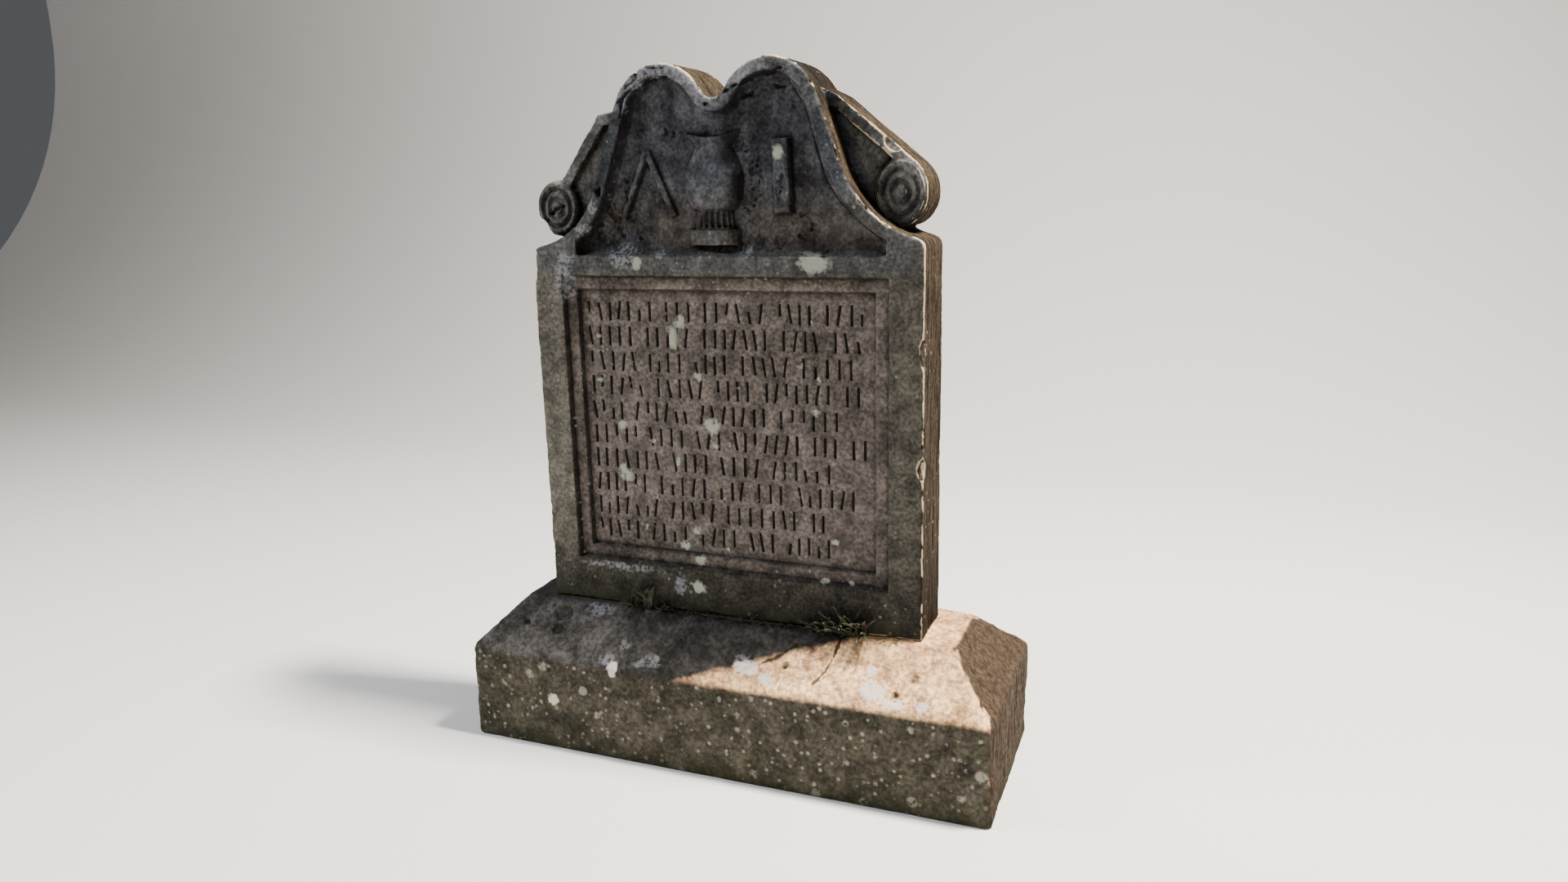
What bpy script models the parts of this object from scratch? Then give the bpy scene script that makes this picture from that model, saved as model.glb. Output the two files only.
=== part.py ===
"""A carved headstone on a weathered plinth, in metres with +Z up.

The origin is in the middle of the plinth's underside, and the carved face looks along -Y.
Outlines of the headstone are drawn as (x, height above its foot), depths as metres behind its face.
"""

import math
import random

import bmesh
import bpy
from mathutils import Matrix, Vector

# Tablet
TABLET_WIDTH = 0.660
TABLET_THICKNESS = 0.116
SHOULDER_HEIGHT = 0.615
SHOULDER_SLOPE = 15.0
SHOULDER_ROUNDING = 0.016
ROUNDING_LIMIT = 0.95
RIGHT_SHOULDER = 0.013
LEFT_SHOULDER = 0.030
LEFT_SHOULDER_DROP = 0.007
WORN_RIM = 0.003

# Crown with its two humps
CREST_HEIGHT = 0.876
HUMP_RADIUS = 0.081
HUMP_SPACING = 0.178
VALLEY_RADIUS = 0.019
FLANK_LEAN = 19.5
CROWN_SHIFT = 0.003

# Band and sunk field inside the crown
BAND_WIDTH = 0.020
COVE_RUN = 0.023
FIELD_DEPTH = 0.018
SILL_DROP = 0.026
SILL_RUN = 0.017
COVE_END = 0.022
COVE_END_AT_FIELD = 0.002
COVE_STEPS = ((0.05, 0.34), (0.22, 0.62), (0.52, 0.86), (1.0, 1.0))

# Sunk frame and inscription panel
FRAME_SIDE_MARGIN = 0.052
FRAME_FOOT_MARGIN = 0.073
FRAME_HEAD_MARGIN = 0.030
FRAME_SINK = 0.010
FRAME_SLANT = 0.005
STRIP_WIDTH = 0.018
PANEL_SINK = 0.007
PANEL_SLANT = 0.004

# Rows of strokes on the panel
STROKE_ROWS = 10
STROKE_HEIGHT = 0.033
STROKE_WIDTH = 0.0044
STROKE_DEPTH = 0.0024
STROKE_PITCH = 0.0185
STROKE_LEAN = 9.0
ROW_SIDE_MARGIN = 0.014
ROW_HEAD_MARGIN = 0.016
ROW_FOOT_MARGIN = 0.012

# Shares that vary the strokes, and how many of them stand together
STROKE_LIFT = 0.3
STROKE_TAPER = 0.86
STROKE_LENGTHS = (1.0, 1.0, 1.0, 0.94, 0.6)
STROKE_SPACING = (0.85, 1.1)
GROUP_SIZES = (3, 7)
GROUP_GAP = 0.7
ROW_ENDS = (0, 0, 1, 3)

# Urn in relief, with radii up its height above the field's sill
URN_SHIFT = -0.004
URN_RELIEF = 0.020
URN_BEDDING = 0.002
URN_BASE_HEIGHT = 0.022
URN_BASE_RADIUS = 0.045
URN_FOOT_HEIGHT = 0.030
URN_FOOT_RADIUS = 0.034
URN_BODY_HEIGHT = 0.094
URN_BODY_RADIUS = 0.050
URN_NECK_RADIUS = 0.031
URN_MOUTH_HEIGHT = 0.022
URN_MOUTH_RADIUS = 0.047
URN_MOUTH_DIP = 0.009
URN_FLUTES = 7
URN_FLUTE_WIDTH = 0.006
URN_FLUTE_SPREAD = 110.0
URN_FLUTE_STOP = 0.003

# Shares of the urn's own sizes that shape its outline
URN_LIP_TAPER = 0.96
URN_LIP_FOOT = 0.75
URN_THROAT_SWELL = 1.08
URN_THROAT_HEIGHT = 0.25
URN_BELLY_HEIGHT = 0.52
URN_SWELL_POWER = 1.3
URN_FOOT_COLLAR = 0.002
URN_FOOT_WAIST = 0.92
URN_FOOT_SPREAD = 1.04
URN_BASE_TAPER = 0.97

# Dividers and bar in relief
DIVIDERS_OFFSET = 0.120
DIVIDERS_HEIGHT = 0.100
DIVIDERS_SILL_GAP = 0.042
DIVIDERS_SPREAD = 0.088
LEG_WIDTH = 0.011
LEFT_LEG_RELIEF = 0.008
RIGHT_LEG_RELIEF = 0.006
BAR_OFFSET = 0.109
BAR_WIDTH = 0.029
BAR_HEIGHT = 0.110
BAR_SILL_GAP = 0.044
BAR_RELIEF = 0.016
BAR_LEAN = -2.0
RIDGE_ROUNDING = 0.45

# Scrolls at the crown's sides
SCROLL_SETBACK = 0.035
SCROLL_BACK_MARGIN = 0.002
RECESS_SINK = 0.012
STRAP_WIDTH = 0.019
VOLUTE_STAND = 0.002
VOLUTE_GROOVE = 0.004
VOLUTE_GROOVE_RADII = ((0.20, 0.42), (0.56, 0.74))
VOLUTE_GROOVE_SIDE = 0.05
VOLUTE_RIM_RADII = (0.88, 0.92, 0.97)
RIGHT_VOLUTE_HALF_WIDTH = 0.0405
RIGHT_VOLUTE_HALF_HEIGHT = 0.050
RIGHT_VOLUTE_MARGIN = 0.0045
RIGHT_VOLUTE_RISE = 0.014
RIGHT_STRAP_DROP = 0.044
RIGHT_KNEE_RUN = 0.024
RIGHT_KNEE_DROP = 0.012
RIGHT_STRAP_MEETS = 55.0
LEFT_VOLUTE_HALF_WIDTH = 0.040
LEFT_VOLUTE_HALF_HEIGHT = 0.046
LEFT_VOLUTE_MARGIN = -0.007
LEFT_VOLUTE_RISE = 0.010
LEFT_STRAP_DROP = 0.062
LEFT_KNEE_RUN = 0.048
LEFT_KNEE_DROP = 0.006
LEFT_STRAP_MEETS = 105.0

# Plinth, cut off flat at the ground
PLINTH_SIDE_HEIGHT = 0.164
SLOPE_RISE = 0.084
FRONT_SLOPE_RUN = 0.078
BACK_SLOPE_RUN = 0.102
SIDE_SLOPE_RUN = 0.078
SEAT_FRONT_MARGIN = 0.004
SEAT_BACK_MARGIN = 0.033
SEAT_SIDE_MARGIN = 0.051
WORN_ARRIS = 0.007
PIT_DEPTH_SHARE = 0.55
PIT_LIFT = 0.001
JOINT_GAP = 0.0003

# How far cutters start outside the stone, and how deep added forms root in it
OVERCUT = 0.004
ROOT = 0.030

# Chips: x, height, depth behind the face, half sizes along x, height and depth, and turn in degrees
CHIPS = (
    (-0.203, 0.705, 0.004, 0.007, 0.026, 0.016, -12.0),
    (-0.333, 0.575, 0.001, 0.012, 0.042, 0.012, 4.0),
    (0.334, 0.275, 0.001, 0.013, 0.020, 0.012, 12.0),
    (0.333, 0.445, 0.001, 0.009, 0.026, 0.009, -6.0),
    (0.272, 0.747, 0.036, 0.014, 0.009, 0.010, 38.0),
    (-0.331, 0.634, 0.040, 0.020, 0.014, 0.022, 40.0),
)

# Pits in the plinth's front slope: x, share of the way down the slope, half width and half height
PITS = (
    (-0.303, 0.28, 0.020, 0.016),
    (-0.299, 0.52, 0.016, 0.013),
    (-0.368, 0.49, 0.010, 0.008),
    (-0.069, 0.45, 0.011, 0.008),
    (0.121, 0.58, 0.009, 0.007),
    (0.331, 0.52, 0.012, 0.010),
    (0.305, 0.78, 0.010, 0.008),
)

PLINTH_LENGTH = TABLET_WIDTH + 2 * (SEAT_SIDE_MARGIN + SIDE_SLOPE_RUN)
SEAT_DEPTH = SEAT_FRONT_MARGIN + TABLET_THICKNESS + SEAT_BACK_MARGIN
PLINTH_DEPTH = FRONT_SLOPE_RUN + SEAT_DEPTH + BACK_SLOPE_RUN
PLINTH_HEIGHT = PLINTH_SIDE_HEIGHT + SLOPE_RISE
SEAT_FRONT = -PLINTH_DEPTH / 2 + FRONT_SLOPE_RUN
FACE_Y = SEAT_FRONT + SEAT_FRONT_MARGIN
FOOT_Z = PLINTH_HEIGHT + JOINT_GAP
SILL_HEIGHT = SHOULDER_HEIGHT - SILL_DROP
HUMP_HEIGHT = CREST_HEIGHT - HUMP_RADIUS
SILL_AT_FIELD = SILL_HEIGHT + SILL_RUN

RIGHT = {
    "sign": 1,
    "shoulder": RIGHT_SHOULDER,
    "shoulder_drop": 0.0,
    "half_width": RIGHT_VOLUTE_HALF_WIDTH,
    "half_height": RIGHT_VOLUTE_HALF_HEIGHT,
    "margin": RIGHT_VOLUTE_MARGIN,
    "rise": RIGHT_VOLUTE_RISE,
    "strap_drop": RIGHT_STRAP_DROP,
    "knee": (RIGHT_KNEE_RUN, RIGHT_KNEE_DROP),
    "meets": RIGHT_STRAP_MEETS,
}
LEFT = {
    "sign": -1,
    "shoulder": LEFT_SHOULDER,
    "shoulder_drop": LEFT_SHOULDER_DROP,
    "half_width": LEFT_VOLUTE_HALF_WIDTH,
    "half_height": LEFT_VOLUTE_HALF_HEIGHT,
    "margin": LEFT_VOLUTE_MARGIN,
    "rise": LEFT_VOLUTE_RISE,
    "strap_drop": LEFT_STRAP_DROP,
    "knee": (LEFT_KNEE_RUN, LEFT_KNEE_DROP),
    "meets": LEFT_STRAP_MEETS,
}


def clear_scene():
    for obj in list(bpy.data.objects):
        bpy.data.objects.remove(obj, do_unlink=True)


def new_collection(name):
    collection = bpy.data.collections.new(name)
    bpy.context.scene.collection.children.link(collection)
    return collection


def stone(name, colour, roughness):
    """A matt stone: one colour, no metal."""
    material = bpy.data.materials.new(name)
    material.use_nodes = True
    shader = material.node_tree.nodes["Principled BSDF"]
    shader.inputs["Base Color"].default_value = (*colour, 1.0)
    shader.inputs["Roughness"].default_value = roughness
    shader.inputs["Metallic"].default_value = 0.0
    return material


def direction(degrees):
    return Vector((math.cos(math.radians(degrees)), math.sin(math.radians(degrees))))


def arc(centre, radius, start, end, steps):
    """Points along an arc, both ends included, in degrees from +x towards up."""
    return [centre + radius * direction(start + (end - start) * i / steps) for i in range(steps + 1)]


def placed(point, depth):
    """The world point at (x, height above the foot), so far behind the face."""
    return Vector((point[0], FACE_Y + depth, FOOT_Z + point[1]))


def flare(side):
    """Centre and radius of the hollow flare that carries a flank down to the shoulder.

    Points are (distance out from the crown's middle, height). The flank leaves the hump at
    FLANK_LEAN from upright, and the flare is the one arc that touches the flank and ends at the
    shoulder with SHOULDER_SLOPE.
    """
    out = TABLET_WIDTH / 2 - side["shoulder"] - side["sign"] * CROWN_SHIFT
    foot = Vector((out, SHOULDER_HEIGHT - side["shoulder_drop"]))
    leaves = Vector((HUMP_SPACING / 2, HUMP_HEIGHT)) + HUMP_RADIUS * direction(FLANK_LEAN)
    down = direction(FLANK_LEAN - 90)
    span = direction(FLANK_LEAN) - direction(90 - SHOULDER_SLOPE)
    gap = foot - leaves
    radius = (gap.x * down.y - gap.y * down.x) / (span.x * down.y - span.y * down.x)
    return foot + radius * direction(90 - SHOULDER_SLOPE), radius


def half_crown(side, inset, end_degrees):
    """Half the crown's outline moved inwards by inset, from the valley down to the flare's end."""
    hump = Vector((HUMP_SPACING / 2, HUMP_HEIGHT))
    reach = HUMP_RADIUS + VALLEY_RADIUS
    valley = Vector((0, HUMP_HEIGHT + math.sqrt(reach**2 - (HUMP_SPACING / 2) ** 2)))
    tilt = math.degrees(math.atan2(valley.y - hump.y, hump.x))
    centre, radius = flare(side)
    points = arc(valley, VALLEY_RADIUS + inset, -90, -tilt, 3)
    points += arc(hump, HUMP_RADIUS - inset, 180 - tilt, FLANK_LEAN, 11)[1:]
    points += arc(centre, radius + inset, 180 + FLANK_LEAN, 180 + end_degrees, 8)
    return [Vector((CROWN_SHIFT + side["sign"] * p.x, p.y)) for p in points]


def shoulder(side):
    """The rounded corner between a flare and the tablet's upright side, and that side's foot.

    The rounding is no larger than the shoulder's own run has room for.
    """
    sign = side["sign"]
    slope = math.radians(SHOULDER_SLOPE)
    share = 1 - math.sin(slope)
    rounding = min(SHOULDER_ROUNDING, ROUNDING_LIMIT * side["shoulder"] / share)
    drop = side["shoulder_drop"] + (side["shoulder"] - rounding * share) * math.tan(slope)
    low = SHOULDER_HEIGHT - drop - rounding * math.cos(slope)
    corner = arc(Vector((TABLET_WIDTH / 2 - rounding, low)), rounding, 90 - SHOULDER_SLOPE, 0, 3)
    return [Vector((sign * p.x, p.y)) for p in corner] + [Vector((sign * TABLET_WIDTH / 2, 0))]


def tablet_outline():
    right = half_crown(RIGHT, 0.0, 90 - SHOULDER_SLOPE) + shoulder(RIGHT)
    left = half_crown(LEFT, 0.0, 90 - SHOULDER_SLOPE) + shoulder(LEFT)
    return list(reversed(right)) + left[1:]


def field_ring(run, sink):
    """The sunk field's edge part of the way down its cove."""
    inset = BAND_WIDTH + COVE_RUN * run
    sill = SILL_HEIGHT + SILL_RUN * run
    stop = sill + COVE_END + (COVE_END_AT_FIELD - COVE_END) * run
    halves = []
    for side in (RIGHT, LEFT):
        centre, radius = flare(side)
        end = math.degrees(math.asin((centre.y - stop) / (radius + inset)))
        half = half_crown(side, inset, end)
        halves.append(half + [Vector((half[-1].x, sill))])
    outline = list(reversed(halves[0])) + halves[1][1:]
    return [placed(p, FIELD_DEPTH * sink) for p in outline]


def scroll_points(side):
    """A scroll's places, as (distance out from the tablet's middle, height)."""
    volute = Vector(
        (
            TABLET_WIDTH / 2 - side["margin"] - side["half_width"],
            SHOULDER_HEIGHT - side["shoulder_drop"] + side["rise"] + side["half_height"],
        )
    )
    rim = direction(side["meets"])
    meets = volute + Vector((side["half_width"] * rim.x, side["half_height"] * rim.y))
    height = CREST_HEIGHT - side["strap_drop"]
    out = HUMP_SPACING / 2 + HUMP_RADIUS * math.cos(math.asin((height - HUMP_HEIGHT) / HUMP_RADIUS))
    spring = Vector((out + side["sign"] * CROWN_SHIFT, height))
    knee = spring + Vector((side["knee"][0], -side["knee"][1]))
    return volute, meets, spring, knee


def mesh_object(name, mesh, collection):
    obj = bpy.data.objects.new(name, mesh)
    collection.objects.link(obj)
    return obj


def from_bmesh(name, build, collection):
    mesh = bpy.data.meshes.new(name)
    bmesh.ops.recalc_face_normals(build, faces=build.faces)
    build.to_mesh(mesh)
    build.free()
    return mesh_object(name, mesh, collection)


def lofted(name, rings, collection):
    """A closed solid through rings of equally many points, with a flat cap at each end."""
    build = bmesh.new()
    rows = [[build.verts.new(p) for p in ring] for ring in rings]
    for lower, upper in zip(rows, rows[1:]):
        for i in range(len(lower)):
            build.faces.new((lower[i - 1], lower[i], upper[i], upper[i - 1]))
    build.faces.new(rows[0])
    build.faces.new(rows[-1])
    return from_bmesh(name, build, collection)


def slab(name, outline, front, back, collection, worn=0.0):
    """An upright slab of the outline, between two depths behind the face, its rims worn off."""
    curve = bpy.data.curves.new(name, "CURVE")
    curve.dimensions = "2D"
    curve.fill_mode = "BOTH"
    curve.extrude = (back - front) / 2
    spline = curve.splines.new("POLY")
    spline.points.add(len(outline) - 1)
    for spot, point in zip(spline.points, outline):
        spot.co = (point[0], point[1], 0, 1)
    spline.use_cyclic_u = True
    drawn = bpy.data.objects.new(name, curve)
    collection.objects.link(drawn)
    drawn.location = (0, FACE_Y + (front + back) / 2, FOOT_Z)
    drawn.rotation_euler = (math.pi / 2, 0, 0)
    bpy.context.view_layer.update()
    evaluated = drawn.evaluated_get(bpy.context.evaluated_depsgraph_get())
    build = bmesh.new()
    build.from_mesh(bpy.data.meshes.new_from_object(evaluated))
    bmesh.ops.remove_doubles(build, verts=build.verts, dist=0.00001)
    bmesh.ops.dissolve_limit(build, angle_limit=0.01, verts=build.verts, edges=build.edges)
    if worn:
        rims = [edge for edge in build.edges if edge.verts[0].co.z == edge.verts[1].co.z]
        bmesh.ops.bevel(build, geom=rims, offset=worn, segments=1, affect="EDGES")
    matrix = drawn.matrix_world.copy()
    bpy.data.objects.remove(drawn, do_unlink=True)
    solid = from_bmesh(name, build, collection)
    solid.matrix_world = matrix
    return solid


def turned(name, profile, steps, collection):
    """A turned form about its own Z axis; the profile is (radius, height), from the top down."""
    build = bmesh.new()
    spots = [build.verts.new((radius, 0, height)) for radius, height in profile]
    for upper, lower in zip(spots, spots[1:]):
        build.edges.new((upper, lower))
    mesh = bpy.data.meshes.new(name)
    build.to_mesh(mesh)
    build.free()
    obj = mesh_object(name, mesh, collection)
    screw = obj.modifiers.new("Turn", "SCREW")
    screw.steps = steps
    screw.render_steps = steps
    screw.use_merge_vertices = True
    screw.merge_threshold = 0.0001
    return obj


def as_cutter(obj):
    obj.hide_render = True
    obj.display_type = "WIRE"
    return obj


def boolean(target, other, operation):
    as_cutter(other)
    modifier = target.modifiers.new(other.name, "BOOLEAN")
    modifier.object = other
    modifier.operation = operation
    modifier.solver = "EXACT"


def add_scroll(headstone, side, tools):
    """One side scroll: a strap down from the crown, a volute on the shoulder, a sunk web between."""
    sign = side["sign"]
    word = "right" if sign > 0 else "left"
    volute, meets, spring, knee = scroll_points(side)
    along = (meets - knee).normalized()
    inward = Vector((along.y, -along.x)) * STRAP_WIDTH
    first = (knee - spring).normalized()
    mitre = (inward.normalized() + Vector((first.y, -first.x))).normalized()
    inner_knee = knee + mitre * STRAP_WIDTH / mitre.dot(inward.normalized())
    back = TABLET_THICKNESS - SCROLL_BACK_MARGIN
    strap = [
        spring - Vector((ROOT, 0)),
        spring,
        knee,
        meets,
        meets + inward + along * STRAP_WIDTH / 2,
        inner_knee,
        spring - Vector((ROOT, STRAP_WIDTH)),
    ]
    web = [
        spring - Vector((ROOT, 0)),
        knee + inward / 2,
        meets + inward / 2,
        volute,
        Vector((volute.x, SHOULDER_HEIGHT - ROOT)),
        Vector((spring.x - ROOT, SHOULDER_HEIGHT - ROOT)),
    ]
    for name, outline, sink in (("strap", strap, 0.0), ("web", web, RECESS_SINK)):
        mirrored = [Vector((sign * p.x, p.y)) for p in outline]
        solid = slab(f"{word}_{name}", mirrored, SCROLL_SETBACK + sink, back, tools)
        boolean(headstone, solid, "UNION")
    front = back - SCROLL_SETBACK + VOLUTE_STAND
    groove = front - VOLUTE_GROOVE
    profile = [(0.0, front)]
    for inner, outer in VOLUTE_GROOVE_RADII:
        low = (inner + VOLUTE_GROOVE_SIDE, groove), (outer - VOLUTE_GROOVE_SIDE, groove)
        profile += [(inner, front), *low, (outer, front)]
    step, ledge, edge = VOLUTE_RIM_RADII
    profile += [(step, front), (ledge, groove), (edge, groove)]
    profile += [(1.0, groove - VOLUTE_GROOVE), (1.0, 0.0), (0.0, 0.0)]
    disc = turned(f"{word}_volute", profile, 28, tools)
    disc.location = placed((sign * volute.x, volute.y), back)
    disc.rotation_euler = (math.pi / 2, 0, 0)
    disc.scale = (side["half_width"], side["half_height"], 1)
    boolean(headstone, disc, "UNION")


def add_urn(headstone, tools):
    """The urn: a turned form half sunk in the field, fluted on its foot, with a dipped mouth."""
    body = URN_BASE_HEIGHT + URN_FOOT_HEIGHT
    neck = body + URN_BODY_HEIGHT
    belly = body + URN_BODY_HEIGHT * (1 - URN_BELLY_HEIGHT)
    top = neck + URN_MOUTH_HEIGHT
    profile = [
        (0.0, top),
        (URN_MOUTH_RADIUS, top),
        (URN_MOUTH_RADIUS * URN_LIP_TAPER, neck + URN_MOUTH_HEIGHT * URN_LIP_FOOT),
        (URN_NECK_RADIUS * URN_THROAT_SWELL, neck + URN_MOUTH_HEIGHT * URN_THROAT_HEIGHT),
        (URN_NECK_RADIUS, neck),
    ]
    swell = URN_BODY_RADIUS - URN_NECK_RADIUS
    for share in (0.2, 0.4, 0.6, 0.8, 1.0):
        curve = math.sin(share * math.pi / 2) ** URN_SWELL_POWER
        profile.append((URN_NECK_RADIUS + swell * curve, neck + (belly - neck) * share))
    tuck = URN_BODY_RADIUS - URN_FOOT_RADIUS
    for degrees in (25, 45, 62, 76):
        rim = direction(degrees)
        profile.append((URN_FOOT_RADIUS + tuck * rim.x, belly + (body - belly) * rim.y))
    profile += [
        (URN_FOOT_RADIUS, body),
        (URN_FOOT_RADIUS * URN_FOOT_WAIST, body - URN_FOOT_COLLAR),
        (URN_FOOT_RADIUS * URN_FOOT_SPREAD, URN_BASE_HEIGHT),
        (URN_BASE_RADIUS * URN_BASE_TAPER, URN_BASE_HEIGHT),
        (URN_BASE_RADIUS, -URN_BEDDING),
        (0.0, -URN_BEDDING),
    ]
    urn = turned("urn", profile, 24, tools)
    urn.location = placed((URN_SHIFT, SILL_AT_FIELD), FIELD_DEPTH + URN_BEDDING)
    urn.scale = (1, URN_RELIEF / URN_BODY_RADIUS, 1)
    boolean(urn, mouth_dip(top, tools), "DIFFERENCE")
    boolean(urn, flutes(tools), "DIFFERENCE")
    boolean(headstone, urn, "UNION")


def flutes(tools):
    """Upright rods that cut the flutes round the front of the urn's foot."""
    build = bmesh.new()
    for i in range(URN_FLUTES):
        turn = (i / (URN_FLUTES - 1) - 0.5) * URN_FLUTE_SPREAD
        out = direction(turn - 90) * URN_FOOT_RADIUS
        rod = bmesh.ops.create_cone(
            build,
            cap_ends=True,
            segments=6,
            radius1=URN_FLUTE_WIDTH / 2,
            radius2=URN_FLUTE_WIDTH / 2,
            depth=URN_FOOT_HEIGHT - 2 * URN_FLUTE_STOP,
        )
        middle = SILL_AT_FIELD + URN_BASE_HEIGHT + URN_FOOT_HEIGHT / 2
        spot = placed((URN_SHIFT + out.x, middle), FIELD_DEPTH)
        spot.y += URN_BEDDING + out.y * URN_RELIEF / URN_BODY_RADIUS
        bmesh.ops.translate(build, vec=spot, verts=rod["verts"])
    return from_bmesh("urn_flutes", build, tools)


def mouth_dip(top, tools):
    """A wide lying cylinder that dips the urn's mouth between its two lips."""
    radius = (URN_MOUTH_RADIUS**2 + URN_MOUTH_DIP**2) / (2 * URN_MOUTH_DIP)
    build = bmesh.new()
    bmesh.ops.create_cone(
        build,
        cap_ends=True,
        segments=61,
        radius1=radius,
        radius2=radius,
        depth=4 * URN_RELIEF,
    )
    dip = from_bmesh("urn_dip", build, tools)
    dip.location = placed((URN_SHIFT, SILL_AT_FIELD + top - URN_MOUTH_DIP + radius), FIELD_DEPTH)
    dip.rotation_euler = (math.pi / 2, 0, 0)
    return dip


def ridge(name, start, end, width, relief, tools):
    """A raised bar on the field between two points, its front narrower than its root."""
    start, end = Vector(start), Vector(end)
    along = end - start
    build = bmesh.new()
    bmesh.ops.create_cube(build, size=1)
    bmesh.ops.scale(build, vec=(width, 2 * relief, along.length), verts=build.verts)
    rims = [e for e in build.edges if all(v.co.y < 0 for v in e.verts)]
    rounding = RIDGE_ROUNDING * relief
    bmesh.ops.bevel(build, geom=rims, offset=rounding, segments=2, profile=0.5, affect="EDGES")
    bar = from_bmesh(name, build, tools)
    bar.location = placed((start + end) / 2, FIELD_DEPTH)
    bar.rotation_euler = (0, math.atan2(along.x, along.y), 0)
    return bar


def add_emblems(headstone, tools):
    """Dividers on the left of the urn, and a plain bar on its right."""
    foot = SILL_AT_FIELD + DIVIDERS_SILL_GAP
    apex = (CROWN_SHIFT - DIVIDERS_OFFSET, foot + DIVIDERS_HEIGHT)
    for word, sign, relief in (("left", -1, LEFT_LEG_RELIEF), ("right", 1, RIGHT_LEG_RELIEF)):
        toe = (apex[0] + sign * DIVIDERS_SPREAD / 2, foot)
        leg = ridge(f"dividers_{word}_leg", apex, toe, LEG_WIDTH, relief, tools)
        boolean(headstone, leg, "UNION")
    low = Vector((CROWN_SHIFT + BAR_OFFSET, SILL_AT_FIELD + BAR_SILL_GAP))
    top = low + BAR_HEIGHT * direction(90 - BAR_LEAN)
    boolean(headstone, ridge("bar", low, top, BAR_WIDTH, BAR_RELIEF, tools), "UNION")


def frame_ring(margin, depth):
    """A rectangle that lies margin inside the frame's outer edge."""
    half = TABLET_WIDTH / 2 - FRAME_SIDE_MARGIN - margin
    low = FRAME_FOOT_MARGIN + margin
    high = SILL_HEIGHT - FRAME_HEAD_MARGIN - margin
    return [placed(p, depth) for p in ((-half, low), (half, low), (half, high), (-half, high))]


def frame_cutter(tools):
    """The stepped sinking: a slanted wall, a flat strip, a second slanted wall and the panel."""
    strip = FRAME_SLANT + STRIP_WIDTH
    steps = (
        (0.0, -OVERCUT),
        (FRAME_SLANT, FRAME_SINK),
        (strip, FRAME_SINK),
        (strip + PANEL_SLANT, FRAME_SINK + PANEL_SINK),
    )
    return lofted("frame", [frame_ring(*step) for step in steps], tools)


def stroke(build, x, height, length, lean):
    """One V-shaped chisel stroke in the panel."""
    cut = bmesh.ops.create_cube(build, size=1)["verts"]
    for vert in cut:
        deep = vert.co.y > 0
        vert.co.x *= 0 if deep else STROKE_WIDTH * (1 + STROKE_LIFT)
        vert.co.z *= length * (STROKE_TAPER if deep else 1.0)
        vert.co.y = STROKE_DEPTH if deep else -STROKE_DEPTH * STROKE_LIFT
    turn = Matrix.Rotation(math.radians(lean), 3, "Y")
    bmesh.ops.rotate(build, matrix=turn, verts=cut)
    bmesh.ops.translate(build, vec=placed((x, height), FRAME_SINK + PANEL_SINK), verts=cut)


def stroke_cutter(tools):
    """Rows of upright and leaning strokes, spaced and ended unevenly as worn carving is."""
    inside = FRAME_SLANT + STRIP_WIDTH + PANEL_SLANT
    half = TABLET_WIDTH / 2 - FRAME_SIDE_MARGIN - inside - ROW_SIDE_MARGIN
    top = SILL_HEIGHT - FRAME_HEAD_MARGIN - inside - ROW_HEAD_MARGIN - STROKE_HEIGHT / 2
    low = FRAME_FOOT_MARGIN + inside + ROW_FOOT_MARGIN + STROKE_HEIGHT / 2
    build = bmesh.new()
    for row in range(STROKE_ROWS):
        chance = random.Random(row + 3)
        height = top + (low - top) * row / (STROKE_ROWS - 1)
        x = -half
        last = half - STROKE_PITCH * chance.choice(ROW_ENDS)
        group = chance.randint(*GROUP_SIZES)
        while x < last:
            length = STROKE_HEIGHT * chance.choice(STROKE_LENGTHS)
            lean = chance.choice((0, 0, 0, 0, 1, -1)) * STROKE_LEAN
            sits = height + chance.choice((-1, 1)) * (STROKE_HEIGHT - length) / 2
            stroke(build, x, sits, length, lean)
            group -= 1
            x += STROKE_PITCH * chance.uniform(*STROKE_SPACING)
            if group == 0:
                x += STROKE_PITCH * GROUP_GAP
                group = chance.randint(*GROUP_SIZES)
    bmesh.ops.remove_doubles(build, verts=build.verts, dist=0.00001)
    return from_bmesh("strokes", build, tools)


def hollow(name, centre, radii, turn, tools):
    """A faceted egg that cuts a chip or a pit."""
    build = bmesh.new()
    bmesh.ops.create_icosphere(build, subdivisions=2, radius=1)
    bmesh.ops.scale(build, vec=radii, verts=build.verts)
    egg = from_bmesh(name, build, tools)
    egg.location = centre
    egg.rotation_euler = turn
    return egg


def build_headstone(parts, tools, material):
    headstone = slab("headstone", tablet_outline(), 0.0, TABLET_THICKNESS, parts, WORN_RIM)
    headstone.data.materials.append(material)
    for side in (RIGHT, LEFT):
        add_scroll(headstone, side, tools)
    rings = [field_ring(0.0, -OVERCUT / FIELD_DEPTH)] + [field_ring(*step) for step in COVE_STEPS]
    boolean(headstone, lofted("field", rings, tools), "DIFFERENCE")
    add_urn(headstone, tools)
    add_emblems(headstone, tools)
    boolean(headstone, frame_cutter(tools), "DIFFERENCE")
    boolean(headstone, stroke_cutter(tools), "DIFFERENCE")
    for i, (x, height, depth, *radii, turn) in enumerate(CHIPS):
        wide, high, deep = radii
        angle = (0, math.radians(turn), 0)
        chip = hollow(f"chip_{i}", placed((x, height), depth), (wide, deep, high), angle, tools)
        boolean(headstone, chip, "DIFFERENCE")
    return headstone


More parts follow.
